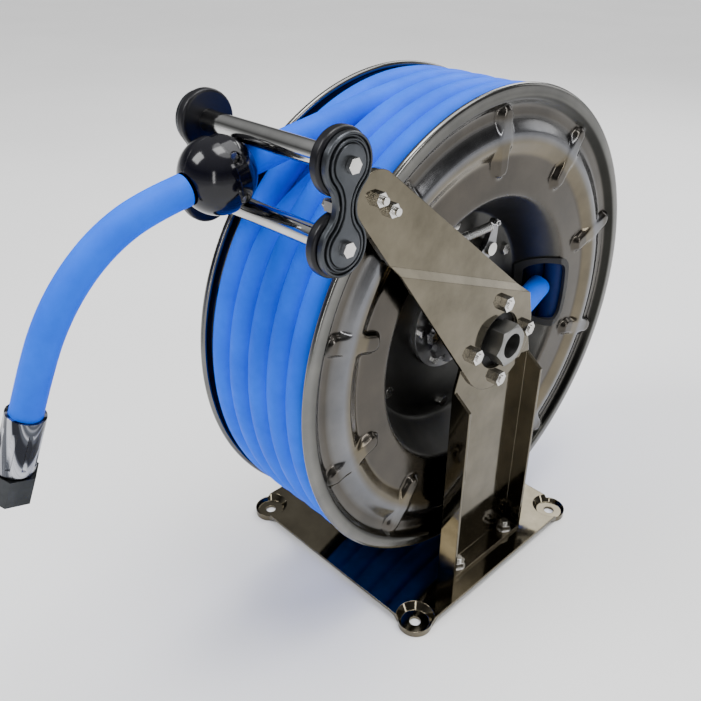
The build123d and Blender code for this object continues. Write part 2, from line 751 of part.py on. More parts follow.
with BuildPart() as cover_screws:
    for turn in range(6):
        point = polar(case_lip_r - 4, 30 + 60 * turn)
        hex_bolt(square_to_axle(case_face_x - skin, point), screw_r, 7, 2.8, 5)
save(cover_screws, "cover_screws")

with BuildPart() as spring_arbor:
    turned([(arbor_inner_x, shaft_r), (arbor_inner_x, arbor_r), (shoulder_x, arbor_r), (shoulder_x, shaft_r)])
save(spring_arbor, "spring_arbor")

# The coiled strip is a chain of half circles, each one half a pitch larger than the last.
with BuildPart() as power_spring:
    with BuildSketch(across(arbor_inner_x - 1 - strip_width)) as strip_section:
        with BuildLine():
            for half in range(2 * spring_turns):
                with Locations((spring_pitch / 2 * (half % 2), 0)):
                    CenterArc((0, 0), inner_strip_r + spring_pitch / 2 * half, 180 * (half % 2), 180)
        trace(line_width=strip)
    extrude(amount=strip_width)
    with BuildSketch(rivet_seat.offset(outer_strip_r - strip)):
        Circle(screw_r)
    extrude(amount=2 * strip, mode=Mode.SUBTRACT)
save(power_spring, "power_spring")

with BuildPart() as spring_rivet:
    stepped_pin(rivet_seat, (outer_strip_r - strip - 0.9, 4, 1.6), (outer_strip_r - strip, screw_r, 5.5),
                (case_r, 4, 1.5))
save(spring_rivet, "spring_rivet")

with BuildPart() as shaft_washer:
    turned([(shoulder_x, tail_r + fit), (shoulder_x, 18), (shoulder_x - washer_height, 18),
            (shoulder_x - washer_height, tail_r + fit)])
save(shaft_washer, "shaft_washer")

with BuildPart() as shaft_nut:
    hex_nut(Plane(origin=place(shoulder_x - washer_height), x_dir=(0, 1, 0), z_dir=(-1, 0, 0)), tail_r, 30, 7)
save(shaft_nut, "shaft_nut")

# ---------------------------------------------------------------- ratchet and pawl, on the near side
wheel_x = 30.0
wheel_width = 6.0
wheel_r = 40.0
notch_r = 5.5
pawl_pivot_r = 4.0
pawl_tip = (2.0, 44.5)
pawl_ear = (44.0, 90.0)
spring_x = wheel_x + wheel_width + 1.6      # the pawl's spring lies beside the pawl
peg_r = 1.5

with BuildPart() as ratchet_wheel:
    with BuildSketch(across(wheel_x)):
        Circle(wheel_r)
        with PolarLocations(wheel_r, notch_count, start_angle=82):
            Circle(notch_r, mode=Mode.SUBTRACT)
    extrude(amount=wheel_width)
    with BuildSketch(across(wheel_x + wheel_width)):
        Circle(20)
    extrude(amount=4)
    with BuildSketch(across(wheel_x)):
        Circle(shaft_r)
    extrude(amount=wheel_width + 4, mode=Mode.SUBTRACT)
save(ratchet_wheel, "ratchet_wheel")

with BuildPart() as pawl:
    with BuildSketch(across(wheel_x)):
        with Locations(pawl_pin_at):
            Circle(8)
        with Locations(pawl_tip):
            Circle(3)
        make_hull()
    extrude(amount=wheel_width)
    with BuildSketch(across(wheel_x)):
        with Locations(pawl_pin_at):
            Circle(8)
        with Locations(pawl_ear):
            Circle(3.5)
        make_hull()
    extrude(amount=wheel_width)
    with BuildSketch(across(wheel_x)):
        with Locations(pawl_pin_at):
            Circle(pawl_pivot_r + fit)
    extrude(amount=wheel_width, mode=Mode.SUBTRACT)
    # Peg for the spring's eye.
    with BuildSketch(across(wheel_x + wheel_width)):
        with Locations(pawl_ear):
            Circle(peg_r)
    extrude(amount=4)
save(pawl, "pawl")

with BuildPart() as pawl_pin:
    stepped_pin(square_to_axle(0, pawl_pin_at), (floor_back_x - 1, screw_r, skin + 1),
                (dish_floor_x, 7, wheel_x - dish_floor_x - gap),
                (wheel_x - gap, pawl_pivot_r, wheel_width + 2 * gap), (wheel_x + wheel_width + gap, 6.5, 2.5))
save(pawl_pin, "pawl_pin")

with BuildPart() as spring_post:
    stepped_pin(square_to_axle(0, spring_post_at), (floor_back_x - 1, screw_r, skin + 1),
                (dish_floor_x, 4, spring_x - dish_floor_x - 1), (spring_x - 1, peg_r, 2.4),
                (spring_x + 1.4, 3, 1.5))
save(spring_post, "spring_post")

# The pawl's tension spring as its outer shape: a thin tube between two eyes.
wire_r = 0.6
eye_half = 0.8
eye_r = 3.7
body_start = 7.0
ear_span = (spring_post_at[0] - pawl_ear[0], spring_post_at[1] - pawl_ear[1])
ear_distance = hypot(*ear_span)
along = (0, ear_span[0] / ear_distance, ear_span[1] / ear_distance)
spring_line = Plane(origin=place(spring_x, pawl_ear), x_dir=(1, 0, 0), z_dir=along)
with BuildPart() as pawl_spring:
    with BuildSketch(spring_line.offset(body_start)):
        Circle(4)
    extrude(amount=ear_distance - 2 * body_start)
    with BuildSketch(spring_line.offset(body_start + 2 * wire_r)):
        Circle(4 - 2 * wire_r)
    extrude(amount=ear_distance - 2 * body_start - 4 * wire_r, mode=Mode.SUBTRACT)
    with BuildSketch(spring_line.offset(2.5)):
        Circle(wire_r)
    extrude(amount=ear_distance - 5)
    for point in (pawl_ear, spring_post_at):
        with BuildSketch(square_to_axle(spring_x - eye_half, point)):
            Circle(eye_r)
        extrude(amount=2 * eye_half)
    for point in (pawl_ear, spring_post_at):
        with BuildSketch(square_to_axle(spring_x - eye_half, point)):
            Circle(peg_r + gap)
        extrude(amount=2 * eye_half, mode=Mode.SUBTRACT)
save(pawl_spring, "pawl_spring")

# ---------------------------------------------------------------- water swivel and inner hose
swivel_r = 27.0
swivel_half_width = 12.0
boss_length = 48.0          # from the axle to the boss's end
boss_bore_r = 5.0
gallery_r = 19.0            # ring of water round the shaft
gland_half_width = 4.0
seal_groove_r = 18.0
seal_groove_width = 3.0
seal_off = 8.0              # each seal, from the middle of the swivel
seal_half_width = 1.4
adapter_hex_length = 8.0
adapter_end = 66.0
hose_start = boss_length + adapter_hex_length
outward = Plane(origin=place(port_x), x_dir=(1, 0, 0), z_dir=(0, 1, 0))

with BuildPart() as swivel_body:
    turned([(port_x - swivel_half_width, shaft_r + fit), (port_x - swivel_half_width, swivel_r),
            (port_x + swivel_half_width, swivel_r), (port_x + swivel_half_width, shaft_r + fit)])
    with BuildSketch(outward) as boss:
        Circle(swivel_half_width)
    extrude(boss.sketch, amount=boss_length)
    with BuildSketch(half_section) as grooves:
        with Locations((port_x, 0)):
            Rectangle(2 * gland_half_width, 2 * gallery_r)
        with Locations((port_x - seal_off, 0), (port_x + seal_off, 0)):
            Rectangle(seal_groove_width, 2 * seal_groove_r)
        with Locations((port_x, -25)):
            Rectangle(50, 50, mode=Mode.SUBTRACT)
    revolve(grooves.sketch, axis=axle, mode=Mode.SUBTRACT)
    with BuildSketch(across(port_x - swivel_half_width)):
        Circle(shaft_r + fit)
    extrude(amount=2 * swivel_half_width, mode=Mode.SUBTRACT)
    with BuildSketch(outward) as bore:
        Circle(boss_bore_r)
    extrude(bore.sketch, amount=boss_length, mode=Mode.SUBTRACT)
save(swivel_body, "swivel_body")

with BuildPart() as swivel_seals:
    for centre_x in (port_x - seal_off, port_x + seal_off):
        low_x = centre_x - seal_half_width
        high_x = centre_x + seal_half_width
        turned([(low_x, shaft_r + fit), (low_x, seal_groove_r - fit), (high_x, seal_groove_r - fit),
                (high_x, shaft_r + fit)])
save(swivel_seals, "swivel_seals")

with BuildPart() as hose_adapter:
    with BuildSketch(outward.offset(boss_length)):
        RegularPolygon(13.5, 6, major_radius=False)
    extrude(amount=adapter_hex_length)
    with BuildSketch(outward.offset(hose_start)):
        Circle(hose_bore_r)
    extrude(amount=adapter_end - hose_start)
    with BuildSketch(outward.offset(boss_length)):
        Circle(boss_bore_r)
    extrude(amount=adapter_end - boss_length, mode=Mode.SUBTRACT)
save(hose_adapter, "hose_adapter")

inner_points = [place(port_x, (hose_start, 0)), place(port_x, (hose_start + 20, 0)), place(38.0, (134, 0))]
coil_half_width = 2 * turn_pitch + hose_r
groove_half_width = hose_r + 0.4
groove_floor_r = outer_turn_r - hose_r - 0.9

with BuildPart() as hose_coil:
    with BuildSketch(half_section):
        with BuildLine():
            Polyline((-core_half_width, core_r), (core_half_width, core_r), (coil_half_width, coil_inner_r),
                     (coil_half_width, outer_turn_r), (-coil_half_width, outer_turn_r),
                     (-coil_half_width, coil_inner_r), close=True)
        make_face()
        with Locations(*[(turn_pitch * turn, outer_turn_r) for turn in (-2, 0, 1, 2)]):
            Circle(hose_r)
        with Locations((lead_x, groove_floor_r + 20)):
            Rectangle(2 * groove_half_width, 40, mode=Mode.SUBTRACT)
    revolve(axis=axle)
save(hose_coil, "hose_coil")

with BuildPart() as hose_inner:
    with BuildLine() as inner_line:
        FilletPolyline(*inner_points, radius=[60])
    with BuildSketch(outward.offset(hose_start)):
        Circle(hose_r)
        Circle(hose_bore_r, mode=Mode.SUBTRACT)
    sweep(path=inner_line.line)
    add(hose_coil.part, mode=Mode.SUBTRACT)
save(hose_inner, "hose_inner")

with BuildPart() as inner_ferrule:
    with BuildSketch(outward.offset(hose_start)):
        Circle(hose_r + 2)
        Circle(hose_r, mode=Mode.SUBTRACT)
    extrude(amount=12)
save(inner_ferrule, "inner_ferrule")

# ---------------------------------------------------------------- the turn that pays out, and the free tail
last_turn_span = 331.6
with BuildPart() as hose_last_turn:
    with BuildLine() as turn_line:
        with BuildLine(across(lead_x)):
            CenterArc((0, 0), outer_turn_r, lead_angle - last_turn_span, last_turn_span)
            Line(lead_start, ball_exit)
    with BuildSketch(Plane(origin=turn_line.line @ 0, x_dir=(1, 0, 0), z_dir=turn_line.line % 0)):
        Circle(hose_r)
        Circle(hose_bore_r, mode=Mode.SUBTRACT)
    sweep(path=turn_line.line)
save(hose_last_turn, "hose_last_turn")

tail_start = Vector(*place(lead_x, ball_exit))
tail_points = [tail_start, tail_start + Vector(0, *lead_run) * 32, Vector(-15, -308, 422),
               Vector(-18, -334, 400), Vector(-22, -355, 371), Vector(-29, -369.5, 335),
               Vector(-36.6, -381, 298.5)]
tail_runs = [after - before for before, after in zip(tail_points, tail_points[1:])]
tail_radii = [0.45 * min(before.length, after.length) / tan(radians(before.get_angle(after) / 2))
              for before, after in zip(tail_runs, tail_runs[1:])]
print("tail radii", [round(radius) for radius in tail_radii])

with BuildPart() as hose_tail:
    with BuildLine() as tail_line:
        FilletPolyline(*tail_points, radius=tail_radii)
    with BuildSketch(Plane(origin=tail_start, x_dir=(1, 0, 0), z_dir=(0, *lead_run))):
        Circle(hose_r)
        Circle(hose_bore_r, mode=Mode.SUBTRACT)
    sweep(path=tail_line.line)
save(hose_tail, "hose_tail")
hose_section = pi * (hose_r ** 2 - hose_bore_r ** 2)
tail_length_mm = sum(edge.length for edge in tail_line.edges())
print("tail volume", round(hose_tail.part.volume), "section by length", round(hose_section * tail_length_mm))

# ---------------------------------------------------------------- end fittings on the tail
tail_run = tail_runs[-1].normalized()
tail_end = Plane(origin=tail_points[-1], x_dir=Vector(1, 0, 0).cross(tail_run), z_dir=tail_run)
ferrule_lap = 6.0           # length of hose inside the ferrule
ferrule_length = 48.0
ferrule_r = 14.5
stem_r = 9.0
stem_head_r = 11.5
end_nut_length = 24.0
end_nut_af = 32.0
nut_start = ferrule_length - ferrule_lap + 1.0


def on_tail(offset, radius, length, bore=0.0):
    """A round length on the tail's line, offset from the end of the hose."""
    with BuildSketch(tail_end.offset(offset)) as ring:
        Circle(radius)
        if bore:
            Circle(bore, mode=Mode.SUBTRACT)
    extrude(ring.sketch, amount=length)


with BuildPart() as hose_ferrule:
    on_tail(-ferrule_lap, ferrule_r, ferrule_lap, hose_r)
    on_tail(0, ferrule_r, ferrule_length - ferrule_lap, stem_r)
    # Crimping flutes round the shell.
    with BuildSketch(tail_end.offset(4)) as flutes:
        with PolarLocations(ferrule_r + 1.6, 8):
            Circle(2.6)
    extrude(flutes.sketch, amount=ferrule_length - ferrule_lap - 10, mode=Mode.SUBTRACT)
save(hose_ferrule, "hose_ferrule")

with BuildPart() as hose_stem:
    on_tail(-20, hose_bore_r, 20, 5.5)
    on_tail(0, stem_r, nut_start + 8, 5.5)
    on_tail(nut_start + 7, stem_head_r, 3, 5.5)
save(hose_stem, "hose_stem")

with BuildPart() as end_nut:
    with BuildSketch(tail_end.offset(nut_start)) as hexagon:
        RegularPolygon(end_nut_af / 2, 6, major_radius=False)
        Circle(stem_r + fit, mode=Mode.SUBTRACT)
    extrude(hexagon.sketch, amount=end_nut_length)
    with BuildSketch(tail_end.offset(nut_start + 11)) as thread:
        Circle(inlet_thread_r)
    extrude(thread.sketch, amount=end_nut_length, mode=Mode.SUBTRACT)
    with BuildSketch(tail_end.offset(nut_start + 6.5)) as relief:
        Circle(inlet_thread_r + gap)
    extrude(relief.sketch, amount=4.5, mode=Mode.SUBTRACT)
save(end_nut, "end_nut")
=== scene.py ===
import bpy
import bmesh
import json
import math
from mathutils import Matrix, Vector


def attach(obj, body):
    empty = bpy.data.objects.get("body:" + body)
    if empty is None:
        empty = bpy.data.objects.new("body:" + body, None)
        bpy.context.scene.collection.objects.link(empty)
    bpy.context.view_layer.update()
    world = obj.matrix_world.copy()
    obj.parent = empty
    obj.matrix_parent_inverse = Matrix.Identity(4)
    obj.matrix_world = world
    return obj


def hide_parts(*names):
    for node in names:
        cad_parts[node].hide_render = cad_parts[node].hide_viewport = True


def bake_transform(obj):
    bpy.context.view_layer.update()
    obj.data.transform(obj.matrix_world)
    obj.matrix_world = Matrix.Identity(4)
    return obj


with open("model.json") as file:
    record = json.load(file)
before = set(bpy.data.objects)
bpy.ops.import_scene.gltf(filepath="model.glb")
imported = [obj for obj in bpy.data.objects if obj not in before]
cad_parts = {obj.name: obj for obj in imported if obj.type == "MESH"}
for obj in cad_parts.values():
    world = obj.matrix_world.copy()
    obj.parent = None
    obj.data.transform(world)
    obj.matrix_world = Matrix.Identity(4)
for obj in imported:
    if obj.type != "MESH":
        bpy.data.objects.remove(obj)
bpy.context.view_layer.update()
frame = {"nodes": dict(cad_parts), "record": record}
nodes = frame["nodes"]

# The same measures as in part.py, in metres.
AXLE = Vector((0.011, 0.0035, 0.266))     # the drum's middle
HOSE_R = 0.012
PITCH = 0.0242                            # from one turn of hose to the next
TURN_R = 0.212                            # centre line of the outermost layer
LAYER_DEPTHS = (0.0232, 0.0464, 0.0690)   # from the outermost layer down to each layer under it


# ------------------------------------------------------------------ camera
CAMERA_PLACE = (0.4449, -0.5265, 0.6176)
CAMERA_AZIMUTH = math.radians(45.977)
CAMERA_ELEVATION = math.radians(30.306)
CAMERA_ROLL = math.radians(0.158)
CAMERA_LENS = 39.80


def make_camera():
    """The camera at the photograph's viewing angle."""
    level = math.cos(CAMERA_ELEVATION)
    back = Vector((math.sin(CAMERA_AZIMUTH) * level, -math.cos(CAMERA_AZIMUTH) * level,
                   math.sin(CAMERA_ELEVATION)))
    right = Vector((math.cos(CAMERA_AZIMUTH), math.sin(CAMERA_AZIMUTH), 0))
    turn = Matrix((right, back.cross(right), back)).transposed().to_4x4()
    data = bpy.data.cameras.new("camera")
    data.sensor_width = 36
    data.lens = CAMERA_LENS
    data.clip_start = 0.01
    camera = bpy.data.objects.new("camera", data)
    camera.matrix_world = Matrix.Translation(CAMERA_PLACE) @ turn @ Matrix.Rotation(CAMERA_ROLL, 4, "Z")
    bpy.context.scene.collection.objects.link(camera)
    bpy.context.scene.camera = camera


make_camera()


# ------------------------------------------------------------------ helpers
def about_axle(x, radius, degrees):
    """A point x from the drum's middle and at an angle about the axle; angle 0 points along +Y."""
    a = math.radians(degrees)
    return AXLE + Vector((x, radius * math.cos(a), radius * math.sin(a)))


def put(obj, body, material):
    """Put a piece in the scene with its material, and ride it on a body."""
    bpy.context.scene.collection.objects.link(obj)
    obj.data.materials.append(material)
    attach(obj, body)
    return obj


def curve_tube(name, lines, radius, cyclic=False, order=3, resolution=6, round_steps=6):
    """A round tube along each line of points: a closed ring if cyclic, otherwise with capped ends."""
    data = bpy.data.curves.new(name, "CURVE")
    data.dimensions = "3D"
    data.bevel_depth = radius
    data.bevel_resolution = round_steps
    data.resolution_u = resolution
    data.use_fill_caps = True
    for line in lines:
        spline = data.splines.new("NURBS")
        spline.points.add(len(line) - 1)
        for point, place in zip(spline.points, line):
            point.co = (*place, 1)
        spline.order_u = order
        if cyclic:
            spline.use_cyclic_u = True
        else:
            spline.use_endpoint_u = True
        spline.use_smooth = True
    return bpy.data.objects.new(name, data)


# ------------------------------------------------------------------ materials
def set_stops(color_ramp, stops):
    """Give a colour ramp its stops: each is a place and a colour, or a number for a grey."""
    elements = color_ramp.elements
    while len(elements) < len(stops):
        elements.new(0.5)
    for element, (place, colour) in zip(elements, stops):
        rgb = colour if isinstance(colour, tuple) else (colour, colour, colour)
        element.position = place
        element.color = (*rgb, 1)


class Nodes:
    """A material's node tree with short calls to add and join nodes."""

    def __init__(self, name):
        self.material = bpy.data.materials.new(name)
        self.material.use_nodes = True
        self.tree = self.material.node_tree
        self.shader = self.tree.nodes["Principled BSDF"]
        self.position = self.add("ShaderNodeTexCoord").outputs["Object"]

    def add(self, kind, **values):
        node = self.tree.nodes.new(kind)
        for key, value in values.items():
            if key in node.inputs:
                node.inputs[key].default_value = value
            else:
                setattr(node, key, value)
        return node

    def join(self, start, end):
        self.tree.links.new(start, end)

    def noise(self, scale, detail=4, roughness=0.55, stretch=None):
        """Noise over the surface; stretch draws it out along the axes where it is below 1."""
        node = self.add("ShaderNodeTexNoise", Scale=scale, Detail=detail, Roughness=roughness)
        source = self.position
        if stretch:
            mapping = self.add("ShaderNodeMapping")
            mapping.inputs["Scale"].default_value = stretch
            self.join(self.position, mapping.inputs["Vector"])
            source = mapping.outputs["Vector"]
        self.join(source, node.inputs["Vector"])
        return node.outputs["Fac"]

    def axle_radius(self):
        """Distance from the axle, in metres, as a value over the surface."""
        across = self.add("ShaderNodeVectorMath", operation="SUBTRACT")
        across.inputs[1].default_value = AXLE
        self.join(self.position, across.inputs[0])
        flat = self.add("ShaderNodeVectorMath", operation="MULTIPLY")
        flat.inputs[1].default_value = (0, 1, 1)
        self.join(across.outputs["Vector"], flat.inputs[0])
        length = self.add("ShaderNodeVectorMath", operation="LENGTH")
        self.join(flat.outputs["Vector"], length.inputs[0])
        return length.outputs["Value"]

    def ramp(self, source, stops):
        """Colours, or greys, by the source's value."""
        node = self.add("ShaderNodeValToRGB")
        set_stops(node.color_ramp, stops)
        self.join(source, node.inputs["Fac"])
        return node.outputs["Color"]

    def spread(self, source, low, high):
        """Noise turned into a number between low and high."""
        node = self.add("ShaderNodeMapRange")
        node.inputs["From Min"].default_value = 0.3
        node.inputs["From Max"].default_value = 0.7
        node.inputs["To Min"].default_value = low
        node.inputs["To Max"].default_value = high
        self.join(source, node.inputs["Value"])
        return node.outputs["Result"]

    def bump(self, source, strength, distance, base=None):
        """A normal raised by the source, on top of the base normal if there is one."""
        node = self.add("ShaderNodeBump", Strength=strength, Distance=distance)
        self.join(source, node.inputs["Height"])
        if base is not None:
            self.join(base, node.inputs["Normal"])
        return node.outputs["Normal"]

    def bevel(self, radius):
        """A normal that rounds sharp edges by the radius."""
        return self.add("ShaderNodeBevel", Radius=radius, samples=6).outputs["Normal"]


def metal(name, dark, light, rough_low, rough_high, edge=0.0005, wave=0.0, grain=0.02):
    """Bare metal: mottled colour, uneven polish, fine grain and a slight waviness of the sheet."""
    n = Nodes(name)
    n.join(n.ramp(n.noise(28, 6, 0.6), [(0.3, dark), (0.72, light)]), n.shader.inputs["Base Color"])
    n.shader.inputs["Metallic"].default_value = 1.0
    n.join(n.spread(n.noise(60, 8, 0.7), rough_low, rough_high), n.shader.inputs["Roughness"])
    normal = n.bevel(edge)
    if wave:
        normal = n.bump(n.noise(9, 2, 0.4), wave, 0.004, normal)
    normal = n.bump(n.noise(900, 3, 0.6), grain, 0.0003, normal)
    n.join(normal, n.shader.inputs["Normal"])
    return n.material


def crimped_steel(name):
    """Crimped sleeve: painted highlights and painted shade in streaks along the crimps, side by side in the
    axle's direction, with the crimps raised in the bump.
    """
    n = Nodes(name)
    # The same streaks paint highlight and shade into the colour and raise the crimps in the bump.
    crimps_and_painted_streaks = n.noise(300, 3, 0.6, (1.0, 0.003, 0.003))
    stops = [(0.40, (0.02, 0.021, 0.026)), (0.52, (0.07, 0.075, 0.088)), (0.64, (0.48, 0.49, 0.53))]
    n.join(n.ramp(crimps_and_painted_streaks, stops), n.shader.inputs["Base Color"])
    n.shader.inputs["Metallic"].default_value = 1.0
    n.join(n.spread(n.noise(60, 6, 0.7), 0.18, 0.34), n.shader.inputs["Roughness"])
    normal = n.bump(crimps_and_painted_streaks, 0.5, 0.0008, n.bevel(0.0005))
    n.join(n.bump(n.noise(900, 3, 0.6), 0.06, 0.0003, normal), n.shader.inputs["Normal"])
    return n.material


RING_SPAN = (0.100, 0.228)    # radii, in metres, at the places 0 and 1 of the ring colours
# Colours by radius: the sheet's own tone on the dish and flats, and painted light on the pressed rings: a
# painted floor reflection, a painted highlight on the raised ring and painted shade in the groove.
RING_TONES_AND_PAINTED_REFLECTIONS = (
    (0.0, (0.06, 0.06, 0.058)),        # the dish
    (0.20, (0.075, 0.075, 0.072)),
    (0.25, (0.066, 0.06, 0.052)),      # the flat round the dish
    (0.50, (0.070, 0.063, 0.054)),
    (0.53, (0.125, 0.108, 0.078)),     # a warm painted reflection of the floor where the ribs start
    (0.60, (0.125, 0.110, 0.082)),
    (0.65, (0.155, 0.16, 0.175)),      # the raised ring, with a painted highlight
    (0.74, (0.12, 0.12, 0.122)),
    (0.78, (0.070, 0.064, 0.056)),
    (0.83, (0.085, 0.08, 0.074)),
    (0.845, (0.022, 0.022, 0.02)),     # painted shade in the dark groove by the rim
    (0.885, (0.022, 0.022, 0.02)),
    (0.90, (0.10, 0.10, 0.095)),       # the rolled rim
    (0.95, (0.16, 0.16, 0.155)))


def pressed_flange(name):
    """Polished sheet of the drum's flanges: the dish is duller and darker than the rings round it, and the
    ring colours paint a floor reflection, a highlight and groove shade.
    """
    n = Nodes(name)
    span = n.add("ShaderNodeMapRange")
    span.inputs["From Min"].default_value, span.inputs["From Max"].default_value = RING_SPAN
    n.join(n.axle_radius(), span.inputs["Value"])
    # Painted reflection, highlight and shade by radius, over the sheet's own tones.
    rings = n.ramp(span.outputs["Result"], RING_TONES_AND_PAINTED_REFLECTIONS)
    mottle = n.ramp(n.noise(24, 6, 0.6), [(0.3, (0.75, 0.75, 0.75)), (0.72, (1.1, 1.08, 1.05))])
    # A Mix node set to RGBA has its two colours at inputs 6 and 7, and its colour at output 2.
    blend = n.add("ShaderNodeMix", data_type="RGBA", blend_type="MULTIPLY")
    blend.inputs["Factor"].default_value = 1.0
    n.join(rings, blend.inputs[6])
    n.join(mottle, blend.inputs[7])
    n.join(blend.outputs[2], n.shader.inputs["Base Color"])
    n.shader.inputs["Metallic"].default_value = 1.0
    polish = n.ramp(span.outputs["Result"], [(0.20, 0.34), (0.27, 0.12)])
    uneven = n.spread(n.noise(60, 8, 0.7), 0.0, 0.10)
    rough = n.add("ShaderNodeMath", operation="ADD")
    n.join(polish, rough.inputs[0])
    n.join(uneven, rough.inputs[1])
    n.join(rough.outputs["Value"], n.shader.inputs["Roughness"])
    normal = n.bump(n.noise(9, 2, 0.4), 0.30, 0.004)
    normal = n.bump(n.noise(900, 3, 0.6), 0.02, 0.0003, normal)
    n.join(normal, n.shader.inputs["Normal"])
    return n.material


def moulded(name, dark, light, rough_low, rough_high, coat=0.0, grain=0.05, edge=0.0005, specular=0.5):
    """Plastic, rubber or hose cover: slight colour variation, scuffs and a fine grain."""
    n = Nodes(name)
    n.join(n.ramp(n.noise(22, 5, 0.6), [(0.32, dark), (0.7, light)]), n.shader.inputs["Base Color"])
    n.join(n.spread(n.noise(45, 8, 0.7), rough_low, rough_high), n.shader.inputs["Roughness"])
    n.shader.inputs["Coat Weight"].default_value = coat
    n.shader.inputs["Coat Roughness"].default_value = 0.12
    n.shader.inputs["Specular IOR Level"].default_value = specular
    normal = n.bump(n.noise(700, 3, 0.6), grain, 0.0003, n.bevel(edge))
    n.join(normal, n.shader.inputs["Normal"])
    return n.material


# The steels are darker than bare stainless, because the real reel mirrors dark surroundings
# and this one stands on a pale floor.
stainless = metal("stainless_sheet", (0.13, 0.126, 0.12), (0.21, 0.204, 0.195), 0.12, 0.26, wave=0.30)
mirror_sheet = metal("mirror_sheet", (0.095, 0.084, 0.060), (0.160, 0.141, 0.104), 0.04, 0.12,
                     wave=0.16, edge=0.001)
flange_sheet = pressed_flange("flange_sheet")
shaft_steel = metal("shaft_steel", (0.20, 0.20, 0.21), (0.34, 0.34, 0.35), 0.22, 0.38)
crimped = crimped_steel("crimped_steel")
nut_steel = metal("nut_steel", (0.022, 0.024, 0.026), (0.055, 0.058, 0.062), 0.22, 0.36, grain=0.08)
blackened = metal("blackened_steel", (0.012, 0.012, 0.013), (0.03, 0.03, 0.032), 0.35, 0.5)
fitting_steel = metal("fitting_steel", (0.16, 0.16, 0.155), (0.30, 0.30, 0.29), 0.30, 0.46, grain=0.10)
fastener = metal("fastener", (0.50, 0.49, 0.47), (0.72, 0.71, 0.69), 0.14, 0.28, edge=0.0004)
grey_casting = metal("grey_casting", (0.045, 0.05, 0.055), (0.09, 0.095, 0.105), 0.26, 0.40,
                     edge=0.0012, grain=0.14)
hub_casting = metal("hub_casting", (0.25, 0.25, 0.25), (0.4, 0.4, 0.4), 0.3, 0.45)
spring_steel = metal("spring_steel", (0.48, 0.48, 0.48), (0.68, 0.68, 0.68), 0.2, 0.32, edge=0.0001)
brass = metal("machined_brass", (0.40, 0.28, 0.11), (0.62, 0.47, 0.22), 0.18, 0.34)
chrome = metal("roller_chrome", (0.42, 0.42, 0.41), (0.58, 0.58, 0.57), 0.05, 0.14)
black = moulded("black_plastic", (0.0015, 0.0015, 0.004), (0.004, 0.004, 0.008), 0.08, 0.16,
                coat=0.1, edge=0.0008, specular=0.32)
black_satin = moulded("black_satin", (0.0015, 0.0015, 0.003), (0.005, 0.005, 0.008), 0.30, 0.42,
                      edge=0.0008, specular=0.3)
rubber = moulded("black_rubber", (0.004, 0.004, 0.004), (0.012, 0.012, 0.012), 0.5, 0.7, grain=0.15)
hose = moulded("blue_hose", (0.0, 0.10, 0.80), (0.0, 0.14, 0.98), 0.5, 0.65, specular=0.12, grain=0.06)
# Painted shade: a darker copy of the blue hose for the layers under the outermost one, which lie in shadow.
hose_painted_shade = moulded("blue_hose_painted_shade", (0.0004, 0.008, 0.06), (0.001, 0.016, 0.11), 0.55, 0.7,
                    specular=0.2, grain=0.06)

slot_material = {
    "stainless": stainless,
    "shaft_steel": shaft_steel,
    "fitting_steel": fitting_steel,
    "fastener": fastener,
    "grey_casting": grey_casting,
    "black_plastic": black,
    "blue_hose": hose,
    "hub_casting": hub_casting,
    "bearing_steel": shaft_steel,
    "spring_steel": spring_steel,
    "brass_fitting": brass,
    "black_rubber": rubber,
    "roller_chrome": chrome}
# Nodes whose finish differs from the rest of their slot.
node_material = {
    "pedestal": mirror_sheet,
    "guide_arm": mirror_sheet,
    "base_plate": mirror_sheet,
    "hose_ferrule": crimped,
    "end_nut": nut_steel,
    "main_shaft": blackened,
    "top_roller_discs": black_satin,
    "bottom_roller_discs": black_satin}
for entry in frame["record"]["subparts"]:
    finish = node_material.get(entry["node"], slot_material[entry["material_slot"]])
    data = nodes[entry["node"]].data
    data.materials.clear()
    data.materials.append(finish)

# ------------------------------------------------------------------ the free tail
# The route's points from part.py, from the ball to the fitting.
TAIL = [(-0.0132, -0.2458, 0.4406), (-0.0132, -0.2774, 0.4355), (-0.015, -0.308, 0.422),
        (-0.018, -0.334, 0.400), (-0.022, -0.355, 0.371), (-0.029, -0.3695, 0.335),
        (-0.0366, -0.381, 0.2985)]
tail = curve_tube("hose_tail_cover", [TAIL], HOSE_R, resolution=24, round_steps=10)
put(tail, "frame", hose)
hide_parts("hose_tail")

# ------------------------------------------------------------------ wound hose
LEAD_ANGLE = 99.13       # degrees about the axle where the hose leaves the drum
LEAD_DEPTH = 0.021       # how far under the outermost layer that turn starts
LOOP_POINTS = 36
EVEN = 0.0001            # how far a turn wanders from its place, in metres
PACKED = 0.0003
LOOSE = 0.0012


def loop(x, radius, wobble, phase):
    """One turn round the drum, a little uneven."""
    line = []
    for step in range(LOOP_POINTS):
        angle = 360 * step / LOOP_POINTS
        a = math.radians(angle)
        off = wobble * (math.sin(a + phase) + 0.5 * math.sin(2 * a + 2.1 * phase))
        rise = 0.6 * wobble * math.sin(3 * a + phase)
        line.append(about_axle(x + off, radius + rise, angle))
    return line


def layer(depth):
    """The five turns of a layer under the outermost one."""
    return [loop((k - 2) * PITCH, TURN_R - depth, PACKED, k * 0.9) for k in range(5)]


# The turn missing from the outermost layer, at -1, is the one that pays out. Its neighbours stay even,
# so that they don't touch it as the drum turns.
wound_lines = [loop(k * PITCH, TURN_R, EVEN if k in (-2, 0) else LOOSE, k * 1.3) for k in (-2, 0, 1, 2)]
wound_lines += layer(LAYER_DEPTHS[0])
wound = curve_tube("hose_wound", wound_lines, HOSE_R, cyclic=True, order=4, resolution=4)
put(wound, "drum", hose)
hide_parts("hose_coil")
# The layers under these wear the blue hose with painted shade.
deep_lines = layer(LAYER_DEPTHS[1]) + layer(LAYER_DEPTHS[2])
deep = curve_tube("hose_deep_layers", deep_lines, HOSE_R, cyclic=True, order=4, resolution=4)
put(deep, "drum", hose_painted_shade)

